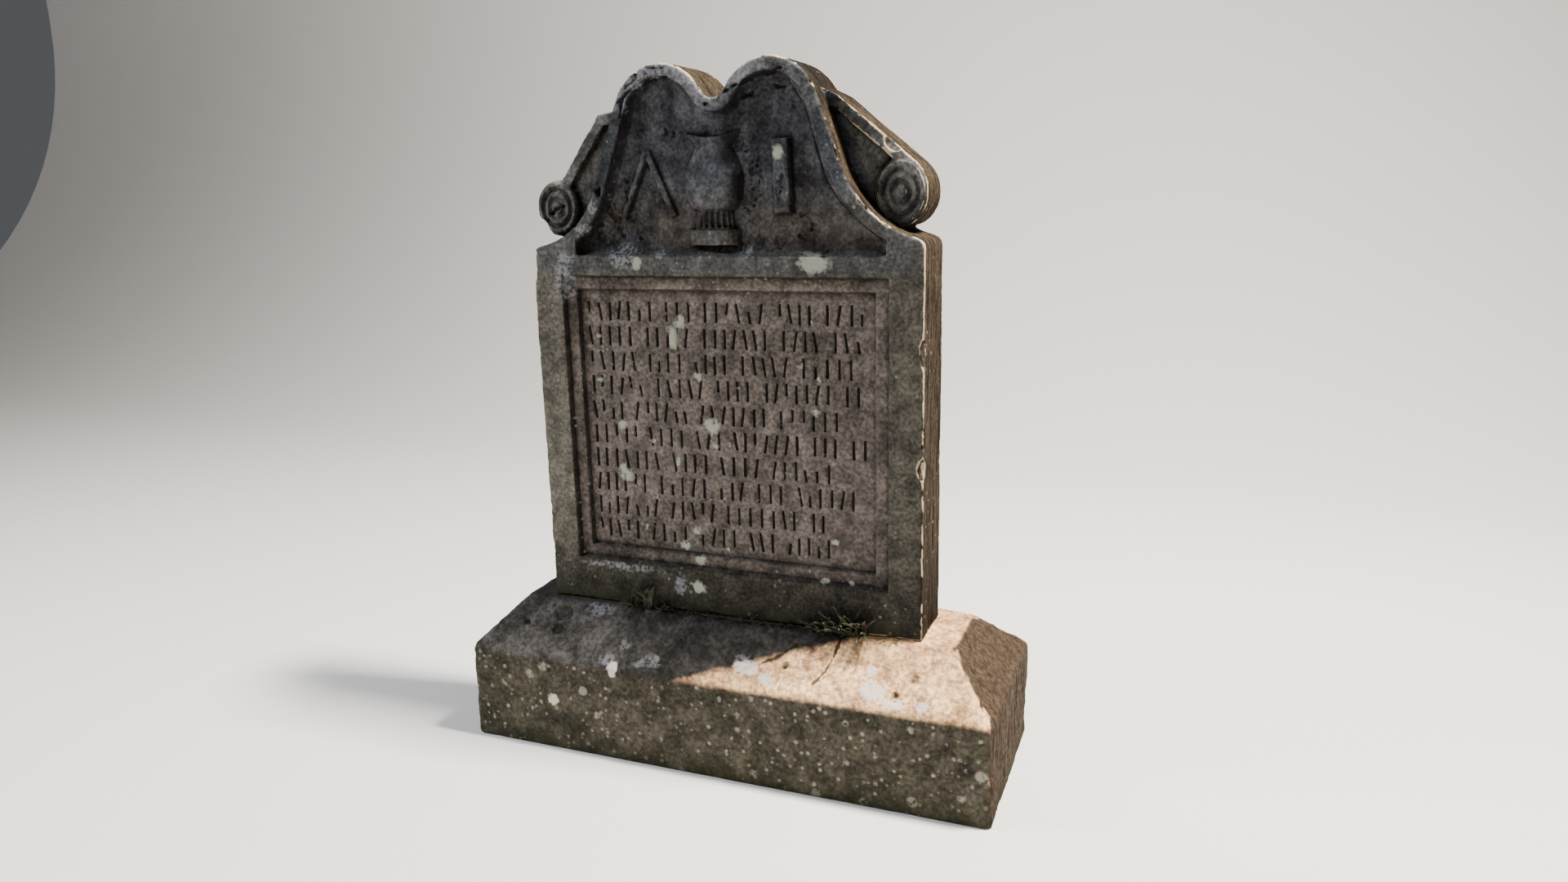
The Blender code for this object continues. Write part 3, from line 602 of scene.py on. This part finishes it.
# Painted shade: creases, chisel strokes and cracks are marked here to be painted near black.
crease_shade_mask = np.maximum(ramp(-lift, 0.0003, 0.0014), ramp(stroke, 0.0002, 0.0014) * 0.7)
ragged = 0.55 + 0.45 * ramp(lumps(spots, 0.012, 16, 2), -0.5, 0.5)
worn_and_highlit = np.maximum(ramp(lift, 0.0003, 0.0013), widened(sharp, edges, 3, 0.45) * ragged)
worn_and_highlit = worn_and_highlit * outer * (0.3 + 0.7 * bare_and_highlit)
fresh = ramp(patches(spots, FRESH_CHIPS), 0.45, 0.75) * (1 - ramp(depth, 0.012, 0.019))
paint(tablet, "arris", np.maximum(worn_and_highlit, fresh * ragged))
paint(tablet, "crease_shade", np.maximum(crease_shade_mask, crack))
# Painted shade, with grime: wide hollows are marked here to be darkened.
paint(tablet, "hollow_shade_and_grime", ramp(-wide_lift, 0.0003, 0.0034))
paint(tablet, "painted_side_shade", painted_side_shade * front)
paint(tablet, "scroll", scroll * ramp(-normals[:, 1], -0.2, 0.2))
paint(tablet, "front", front)
paint(tablet, "side", flank)
paint(tablet, "lichen", patches(spots, LICHENS) * front)
paint(tablet, "crust", patches(spots, CRUSTS) * front)
print("painted:", [layer.name for layer in tablet.data.attributes if layer.data_type == "FLOAT"])

# %% [markdown]
# Even faces cost far more triangles than the flat parts need. Coarser faces would blur the carving, so
# Decimate merges them where the stone is flat instead, and its vertex group leaves the strokes and the
# emblems to the last.


# %% Thin its mesh
TABLET_TRIANGLES = 196000
PLINTH_TRIANGLES = 150000
SPARE_TRIANGLES = 100000


def triangles_in(piece):
    return sum(len(face.vertices) - 2 for face in piece.data.polygons)


def thin(piece, most, box, kept=None):
    """Merges faces where the stone is flat, down to that many triangles, the kept points last."""
    bpy.context.view_layer.objects.active = piece
    before = triangles_in(piece)
    goals = [most]
    if kept is not None:
        group = piece.vertex_groups.new(name="plain")
        group.add(np.flatnonzero(~kept).tolist(), 1.0, "REPLACE")
        goals = [most + SPARE_TRIANGLES, most]
    for goal in goals:
        thinner = piece.modifiers.new("thin", "DECIMATE")
        thinner.ratio = min(1.0, goal / triangles_in(piece))
        if goal > most:
            thinner.vertex_group = "plain"
        bpy.ops.object.modifier_apply(modifier="thin")
    set_points(piece, np.clip(points_of(piece), *box))
    piece.data.shade_smooth()
    print(piece.name, "went from", before, "to", triangles_in(piece), "triangles")


thin(tablet, TABLET_TRIANGLES, (tablet_low, tablet_high), (stroke > 0.0001) | (emblems & sunk))

# %% [markdown]
# ## The plinth
# The plinth is coarser work in the same stone. Its arrises are blunt, its face was left rough from the
# punch, and rain has opened a few round pits in the slope, which CAD already holds. Two fine veins cross
# the slope below the tablet's foot.

# %% Copy the plinth and wear it
PLINTH_VOXEL = 0.0026
PLINTH_BITE_DEPTH = 0.0036
plinth = block_copy("plinth", "plinth_block", PLINTH_VOXEL)
edges = edges_of(plinth)
spots = points_of(plinth)
worn = relaxed(spots, edges, 8)
arris = ramp(proud_of(spots, worn, normals_of(plinth)), 0.0002, 0.0008)
arris = widened(arris, edges, 16, 0.10)
bite = ramp(lumps(spots, 0.040, 21), 0.1, 0.9)
softer = relaxed(worn, edges, 6)
spots = spots + (worn - spots) * (0.6 * arris)[:, None]
spots = spots + (softer - spots) * (0.8 * arris * bite)[:, None]
bitten = arris * ramp(lumps(spots, 0.026, 27, 2), 0.2, 1.6) * ramp(spots[:, 2], 0.01, 0.04)
spots = spots - PLINTH_BITE_DEPTH * normals_of(plinth) * bitten[:, None]
set_points(plinth, spots)

# %% Raise and sink its skin
normals = normals_of(plinth)
side = 1 - ramp(normals[:, 2], 0.3, 0.6)
skin = -0.0016 * np.abs(lumps(spots, 0.12, 22, 2))
skin += 0.0007 * lumps(spots, 0.028, 23) * (0.4 + 0.6 * side)
skin += 0.00045 * lumps(spots, 0.009, 24, 2)
ends = ramp(np.abs(normals[:, 0]), 0.5, 0.8)
skin -= ends * side * 0.0009 * ramp(lumps(spots, (0.3, 0.008, 0.12), 25), -0.2, 0.8)
VEIN_DEPTH = 0.0016
VEINS = (
    ((0.202, 0.243), (0.197, 0.222), (0.188, 0.200), (0.173, 0.183)),
    ((0.132, 0.226), (0.100, 0.206), (0.048, 0.185)),
)
sloping = ramp(normals[:, 2], 0.3, 0.6) * ramp(-normals[:, 1], 0.3, 0.6)
vein = np.zeros(len(spots))
waver = 0.0012 * lumps(spots, 0.010, 26, 2)
for path in VEINS:
    near = off_path(spots, [(x, z - FOOT) for x, z in path]) + waver
    vein = np.maximum(vein, sloping * (1 - ramp(np.abs(near), 0.0008, 0.0030)))
skin -= VEIN_DEPTH * vein
print("its skin goes", round(-1000 * skin.min(), 1), "mm in and", round(1000 * skin.max(), 1), "mm out")

# %% Keep its underside and its seat flat, and its box as CAD has it
SEAT_HALF, SEAT_DEEP = 0.33, 0.116
standing = ramp(spots[:, 2], 0.0, 0.004)
under = (np.abs(spots[:, 0]) < SEAT_HALF) & (spots[:, 2] > SEAT - 0.01)
under &= (spots[:, 1] > FACE) & (spots[:, 1] < FACE + SEAT_DEEP)
spots = spots + normals * (skin * standing * ~under)[:, None]
spots[:, 2] = np.where(spots[:, 2] < 0.0015, 0.0, spots[:, 2])
spots = np.clip(spots, plinth_low, plinth_high)
set_points(plinth, spots)
print("plinth from", spots.min(axis=0).round(4), "to", spots.max(axis=0).round(4))


# %% Note its arrises, lichens and crusts, and where shade is painted
SLOPE_RISE = 0.084


def down_slope(rows):
    """Patches given as x and the share of the way down the front slope, as heights above the seat."""
    return [(x, -SLOPE_RISE * share, wide, high) for x, share, wide, high in rows]


PLINTH_LICHENS = down_slope((
    (0.059, 0.70, 0.022, 0.008), (0.094, 0.82, 0.014, 0.007), (0.261, 0.47, 0.008, 0.006),
    (0.268, 0.76, 0.022, 0.010), (0.306, 0.90, 0.015, 0.006), (0.348, 0.87, 0.012, 0.006),
    (-0.177, 1.00, 0.010, 0.008),
)) + [(-0.296, -0.158, 0.009, 0.009), (-0.177, -0.093, 0.006, 0.006)]
PLINTH_CRUSTS = down_slope((
    (-0.233, 0.13, 0.024, 0.009), (-0.165, 0.62, 0.009, 0.006), (-0.105, 0.80, 0.016, 0.008),
    (-0.190, 0.90, 0.014, 0.007), (-0.130, 0.88, 0.010, 0.005), (0.050, 0.62, 0.014, 0.008),
))
worn = relaxed(spots, edges, 12)
lift = proud_of(spots, worn, normals)
wide_lift = proud_of(spots, relaxed(worn, edges, 50), normals)
faces_front = ramp(-normals[:, 1], 0.2, 0.5)
slope = ramp(normals[:, 2], 0.10, 0.40)
paint(plinth, "arris", ramp(lift, 0.0004, 0.0018) * (1 - ramp(normals[:, 2], 0.10, 0.30)))
# Moss and painted shade: creases, pits and veins are marked here to be painted dark.
paint(plinth, "crease_shade", np.maximum(ramp(-lift, 0.0004, 0.0020), vein))
# Painted shade, with grime: the plinth's wide hollows are marked here to be darkened.
paint(plinth, "hollow_shade_and_grime", ramp(-wide_lift, 0.0006, 0.0040))
paint(plinth, "end", ramp(normals[:, 0], 0.40, 0.60) * (spots[:, 0] > 0.375))
paint(plinth, "slope", slope)
paint(plinth, "lichen", patches(spots, PLINTH_LICHENS) * faces_front)
paint(plinth, "crust", patches(spots, PLINTH_CRUSTS) * faces_front)
thin(plinth, PLINTH_TRIANGLES, (plinth_low, plinth_high))

# %% [markdown]
# ## The tablet's finish
# Old sandstone out of the sun is nearly black-brown, with a violet cast where soot and algae hold in the
# sunk field. Where the skin has come off, at the arrises, the stone is cream, and more so on the right
# side and the crown's tops, which is partly a painted highlight. The sides keep more of the stone's own
# warm brown and show its beds. Painted shade darkens creases, strokes, cracks and wide hollows (with
# grime there), what faces away from the light, the band's left flank, the face towards the right and
# the top of the right hump. Pale green lichen, bluish crust and a fine scatter of specks lie over all
# that. Each layer is a colour and a mask, laid on in that order.

# %% Make the tablet's stone
DULL = 0.08
stone = Finish("tablet_stone")
x, y, z = stone.axes()
slow = stone.mottle(0.16, 3.0)
blotch = stone.mottle(0.030, 5.0)
speck = stone.mottle(0.006, 4.0, shift=3.0)
grit = stone.mottle(0.0022, 3.0, shift=7.0)
facing = stone.marked("front")
arris = stone.marked("arris")
crease_shade = stone.marked("crease_shade")
hollow_shade_and_grime = stone.marked("hollow_shade_and_grime")

mild = stone.fade(blotch, 0.30, 0.70)
skin_tone = stone.blend(mild, (0.060, 0.057, 0.048), (0.142, 0.133, 0.111))
brown = stone.blend(mild, (0.068, 0.059, 0.053), (0.154, 0.134, 0.119))
violet = stone.blend(mild, (0.017, 0.017, 0.020), (0.072, 0.073, 0.084))
earthy = stone.blend(mild, (0.020, 0.018, 0.017), (0.076, 0.068, 0.062))
flanks = stone.blend(mild, (0.031, 0.035, 0.041), (0.081, 0.092, 0.106))
ledges = stone.blend(mild, (0.040, 0.043, 0.046), (0.092, 0.097, 0.103))
humps = stone.blend(mild, (0.085, 0.088, 0.098), (0.290, 0.300, 0.328))
scrolls = stone.blend(mild, (0.048, 0.050, 0.050), (0.150, 0.151, 0.147))

below_ledge = 1 - stone.fade(z, FOOT + 0.545, FOOT + 0.560)
in_panel = facing * stone.fade(y, FACE + 0.004, FACE + 0.009) * below_ledge
above_ledge = stone.fade(z, FOOT + 0.585, FOOT + 0.600)
in_field = facing * stone.fade(y, FACE + 0.001, FACE + 0.009) * above_ledge
on_band = stone.fade(z, FOOT + 0.64, FOOT + 0.72) * stone.fade(slow, 0.30, 0.6)
low_field = (1 - stone.fade(z, FOOT + 0.62, FOOT + 0.72)) * stone.fade(slow, 0.40, 0.55)
# Painted shade: the crown band's left flank is painted darker.
flanks = stone.tinted(flanks, stone.fade(x, -0.20, -0.10) * 0.5 + 0.5)
band = stone.blend(stone.fade(z, FOOT + 0.79, FOOT + 0.84), flanks, humps)
# Painted shade: the face is painted darker towards the right, away from the light.
skin_tone = stone.tinted(skin_tone, 1 - stone.fade(x + blotch * 0.1, -0.25, 0.05) * 0.24)
skin_tone = stone.blend(stone.fade(z, FOOT + 0.550, FOOT + 0.575) * 0.7, skin_tone, ledges)
colour = stone.blend(on_band, skin_tone, band)
colour = stone.blend(in_panel, colour, brown)
colour = stone.blend(in_field, colour, stone.blend(low_field, violet, earthy))
colour = stone.blend(stone.marked("scroll"), colour, scrolls)
uneven = stone.fade(slow, 0.25, 0.75) * 0.40 + stone.fade(speck, 0.32, 0.68) * 0.80 + 0.36
colour = stone.tinted(colour, uneven)

# %% Its sides, arrises and painted shade
beds = stone.mottle(0.060, 5.0, (0.9, 9.0, 0.9), 1.0) + stone.mottle(0.060, 4.0, (1.0, 22.0, 2.0), 8.0)
tan = stone.blend(stone.fade(beds, 0.80, 1.18), (0.0060, 0.0044, 0.0030), (0.052, 0.038, 0.0235))
# Painted shade: the top of the right hump is painted darker.
tan = stone.tinted(tan, 1 - stone.fade(z, FOOT + 0.78, FOOT + 0.84) * stone.fade(x, 0.0, 0.10) * 0.6)
colour = stone.blend(stone.marked("side"), colour, stone.tinted(tan, uneven))
# Painted shade, with grime: wide hollows are darkened.
colour = stone.tinted(colour, 1 - hollow_shade_and_grime * 0.80)
# Painted shade: what faces away from the light is darkened.
colour = stone.tinted(colour, 1 - stone.marked("painted_side_shade") * 0.78)
colour = stone.tinted(colour, stone.fade(z + blotch * 0.02, FOOT - 0.02, FOOT + 0.20) * 0.80 + 0.20)
# Painted shade: creases, chisel strokes and cracks are painted near black.
colour = stone.blend(stone.fade(crease_shade, 0.1, 0.9) * 0.85, colour, (0.008, 0.007, 0.007))
# Worn cream arrises, partly a painted highlight that is stronger on the right side and crown tops.
chipped = stone.fade(arris + blotch * 0.40 + speck * 0.40, 0.98, 1.18)
colour = stone.blend(chipped * 0.9, colour, (0.480, 0.385, 0.275))

# %% What grows on it, and its grain
spread = speck * 1.0 + blotch * 0.9 - 0.95
crusted = stone.fade(stone.marked("crust") * 1.2 + spread, 0.40, 0.90) * stone.fade(speck, 0.34, 0.56)
colour = stone.blend(crusted * 0.55, colour, (0.270, 0.282, 0.315))
specks = stone.dots(0.008, 0.25, 0.40) * stone.fade(slow, 0.40, 0.60) * (1 - in_field * 0.7)
colour = stone.blend(specks * 0.35, colour, (0.330, 0.330, 0.280))
lichen = stone.fade(stone.marked("lichen") + spread * 0.45, 0.42, 0.70)
colour = stone.blend(lichen * 0.78, colour, (0.375, 0.405, 0.335))
damp = (1 - stone.fade(z, FOOT + 0.004, FOOT + 0.030)) * stone.fade(blotch, 0.35, 0.6)
colour = stone.blend(damp * 0.8, colour, (0.020, 0.024, 0.012))
stone.shader.inputs["Specular IOR Level"].default_value = DULL
stone.bump(grit * 0.45 + speck * 0.9 + crusted * 0.15 + lichen * 0.2, 0.0016)
stone.coat(tablet, colour, 0.96 - speck * 0.14)

# %% [markdown]
# ## The plinth's finish
# The plinth is paler and greyer, with hundreds of small pale lichens on its face. Moss keeps to its
# pits and to its foot, which are also painted dark as painted shade, and its right end shows brown beds
# as the tablet's side does. Sunlight is painted on the right part of its slope, pale and warm, along a
# slanting edge; the rest of the slope has a darker painted shadow. Wide hollows get painted shade and
# grime too.

# %% Make the plinth's stone
base = Finish("plinth_stone_weathered")
x, y, z = base.axes()
slow = base.mottle(0.15, 3.0, shift=2.0)
blotch = base.mottle(0.035, 5.0, shift=4.0)
speck = base.mottle(0.007, 4.0, shift=5.0)
grit = base.mottle(0.0025, 3.0, shift=6.0)
on_slope = base.marked("slope")
on_end = base.marked("end")
colour = base.blend(base.fade(blotch, 0.30, 0.70), (0.028, 0.026, 0.020), (0.094, 0.084, 0.064))
colour = base.blend(base.fade(slow, 0.35, 0.65) * 0.4, colour, (0.040, 0.040, 0.027))
# Painted shadow: the slope out of the sun is painted dark grey, lighter towards its left end.
shaded = base.blend(base.fade(blotch, 0.30, 0.70), (0.030, 0.029, 0.028), (0.092, 0.088, 0.086))
shaded = base.tinted(shaded, 1 - base.fade(x, -0.26, -0.04) * 0.48)
colour = base.blend(on_slope, colour, shaded)
# Painted sunlight: a pale, warm patch on the slope's right part, edged where the tablet's shadow falls.
reach = x + (SEAT - z) * 3.4 + base.fade(y, -0.02, 0.03) + blotch * 0.04
painted_sun_patch = base.fade(reach, 0.238, 0.280) * on_slope * (1 - base.fade(y, 0.05, 0.11) * 0.75)
sunlit = base.fade(slow + speck * 0.4, 0.55, 0.85)
painted_sunlight = base.blend(sunlit, (0.690, 0.400, 0.210), (0.920, 0.610, 0.330))
painted_sunlight = base.blend(base.fade(blotch, 0.30, 0.62), (0.385, 0.230, 0.128), painted_sunlight)
colour = base.blend(painted_sun_patch * 0.95, colour, painted_sunlight)

# %% Its brown end
fibres = base.mottle(0.060, 5.0, (1.0, 16.0, 1.4), 1.0)
rubble = base.mottle(0.016, 5.0, (1.0, 1.0, 1.0), 1.0)
brown = base.blend(base.fade(fibres, 0.36, 0.62), (0.012, 0.008, 0.005), (0.070, 0.050, 0.033))
rough = base.blend(base.fade(rubble, 0.25, 0.75), (0.034, 0.024, 0.016), (0.074, 0.053, 0.037))
colour = base.blend(on_end, colour, base.blend(on_slope, brown, rough))
colour = base.tinted(colour, base.fade(speck, 0.32, 0.68) * 0.80 + 0.60)
# Painted shade, with grime: the plinth's wide hollows are darkened.
colour = base.tinted(colour, 1 - base.marked("hollow_shade_and_grime") * 0.75)
crease_shade = base.marked("crease_shade")
# Moss and painted shade: creases, pits and veins are painted near black-green.
colour = base.blend(base.fade(crease_shade, 0.15, 0.9) * 0.85, colour, (0.012, 0.013, 0.008))
chipped = base.fade(base.marked("arris") * 0.8 + blotch * 0.45 + speck * 0.45, 0.85, 1.10)
colour = base.blend(chipped * 0.7, colour, (0.330, 0.255, 0.180))

# %% What grows on it, and its grain
spread = speck * 1.0 + blotch * 0.9 - 0.95
upright = (1 - on_slope) * (1 - on_end * 0.8)
small = base.dots(0.010, 0.60, 0.48, 0.22) * base.fade(speck, 0.28, 0.55)
large = base.dots(0.026, 0.35, 0.42, 0.16) * base.fade(speck, 0.35, 0.55)
cloudy = base.fade(slow + blotch * 0.5, 0.55, 0.85)
colour = base.blend(small * upright * (cloudy * 0.45 + 0.35), colour, (0.320, 0.305, 0.255))
colour = base.blend(large * upright * 0.65, colour, (0.350, 0.340, 0.290))
crusted = base.fade(base.marked("crust") * 1.2 + spread, 0.40, 0.90) * base.fade(speck, 0.34, 0.56)
colour = base.blend(crusted * 0.45, colour, (0.270, 0.280, 0.315))
lichen = base.fade(base.marked("lichen") * 1.1 + spread * 0.7, 0.38, 0.70)
colour = base.blend(lichen * 0.85, colour, (0.720, 0.660, 0.600))
# Moss, and painted shade: the foot is painted dark green-grey.
moss_and_foot_shade = (1 - base.fade(z + blotch * 0.06, 0.020, 0.075)) * 0.7
colour = base.blend(moss_and_foot_shade, colour, (0.026, 0.027, 0.014))
joint = base.fade(z + blotch * 0.010, SEAT - 0.002, SEAT + 0.006) * base.fade(speck, 0.35, 0.6)
colour = base.blend(joint * (1 - base.fade(x, 0.24, 0.30)) * 0.85, colour, (0.012, 0.013, 0.007))
base.shader.inputs["Specular IOR Level"].default_value = DULL
base.bump(grit * 0.5 + speck * 0.9 + rubble * on_end * 0.4 + lichen * 0.2, 0.0018)
base.coat(plinth, colour, 0.97 - speck * 0.12)

# %% [markdown]
# ## Weeds in the joint
# Dirt has gathered where the tablet meets its seat, and small weeds root there. A particle system could
# scatter them, but a part needs real meshes that look the same each time, so one blade is modelled, and
# its copies are turned, bent and sized by a seeded draw. A blade is a strip that narrows to its tip,
# with a slight fold along its middle, and Solidify gives it a thickness.


# %% Model one blade
bpy.ops.object.select_all(action="DESELECT")
bpy.ops.mesh.primitive_plane_add(size=1, location=(0, 0.5, 0))
blade = bpy.context.object
bpy.ops.object.transform_apply(location=True, rotation=True, scale=True)
bpy.ops.object.mode_set(mode="EDIT")
bpy.ops.mesh.subdivide(number_cuts=5)
bpy.ops.object.mode_set(mode="OBJECT")
shape = points_of(blade)
along = shape[:, 1].copy()
shape[:, 0] *= 0.16 * np.sin(np.pi * (0.25 + 0.72 * along))
shape[:, 2] = np.abs(shape[:, 0]) * 0.5
set_points(blade, shape)
bpy.ops.object.select_all(action="DESELECT")
blade.select_set(True)
bpy.context.view_layer.objects.active = blade
thick = blade.modifiers.new("thick", "SOLIDIFY")
thick.thickness = 0.02
bpy.ops.object.modifier_apply(modifier="thick")
shape = points_of(blade)
print("a blade has", len(blade.data.polygons), "faces")

# %% Copy it along the joint; rows are x, half width, blades, their length and how far they lean
TUFTS = (
    (-0.145, 0.005, 9, 0.055, 0.15), (-0.168, 0.016, 16, 0.028, 0.8), (-0.120, 0.016, 14, 0.026, 0.8),
    (0.160, 0.014, 14, 0.034, 0.7), (0.192, 0.016, 22, 0.048, 0.6), (0.225, 0.016, 18, 0.050, 0.7),
    (0.070, 0.070, 44, 0.014, 0.9), (-0.050, 0.050, 30, 0.012, 0.9), (0.280, 0.020, 8, 0.012, 0.9),
)
chance = np.random.default_rng(41)
copies = []
for x, spread, count, length, lean in TUFTS:
    for _ in range(count):
        size = length * chance.uniform(0.5, 1.1)
        curl = chance.uniform(0.3, 1.3)
        leaf = shape.copy()
        turn = curl * shape[:, 1]
        leaf[:, 1] = np.sin(turn) / curl - shape[:, 2] * np.sin(turn)
        leaf[:, 2] = (1 - np.cos(turn)) / curl + shape[:, 2] * np.cos(turn)
        rise = math.pi / 2 - lean * chance.uniform(0.2, 1.3)
        swing = chance.uniform(-1.2, 1.2)
        turned = Euler((rise, 0, 0)).to_matrix() @ Matrix.Rotation(math.pi, 3, "Y")
        turned = Matrix.Rotation(math.pi + swing, 3, "Z") @ turned
        root = (x + chance.uniform(-spread, spread), FACE - 0.0035, SEAT - 0.001)
        copy = bpy.data.objects.new("leaf", blade.data.copy())
        bpy.context.scene.collection.objects.link(copy)
        leaf = leaf @ np.array(turned).T * size + root
        leaf[:, 1] = np.minimum(leaf[:, 1], FACE - 0.001)
        set_points(copy, leaf)
        copies.append(copy)
bpy.data.objects.remove(blade)
bpy.ops.object.select_all(action="DESELECT")
for copy in copies:
    copy.select_set(True)
bpy.context.view_layer.objects.active = copies[0]
bpy.ops.object.join()
weeds = bpy.context.object
weeds.name = "weeds"
weeds.data.shade_smooth()
print("weeds:", len(copies), "blades,", len(weeds.data.polygons), "faces")

# %% Make the weeds' green
green = Finish("weed_green")
tone = green.mottle(0.014, 2.0)
colour = green.blend(green.fade(tone, 0.35, 0.65), (0.006, 0.008, 0.004), (0.042, 0.048, 0.018))
colour = green.blend(green.fade(tone, 0.62, 0.75) * 0.8, colour, (0.190, 0.185, 0.085))
green.coat(weeds, colour, 0.6)

# %% [markdown]
# ## Handing the pieces to the frame
# Each block stands for its CAD node, which is hidden, and rides on the one body.

# %% Hand over and finish
for piece, node, slot in ((tablet, "headstone", "headstone_stone"), (plinth, "plinth", "plinth_stone")):
    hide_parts(node)
    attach(piece, "root")
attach(weeds, "root")
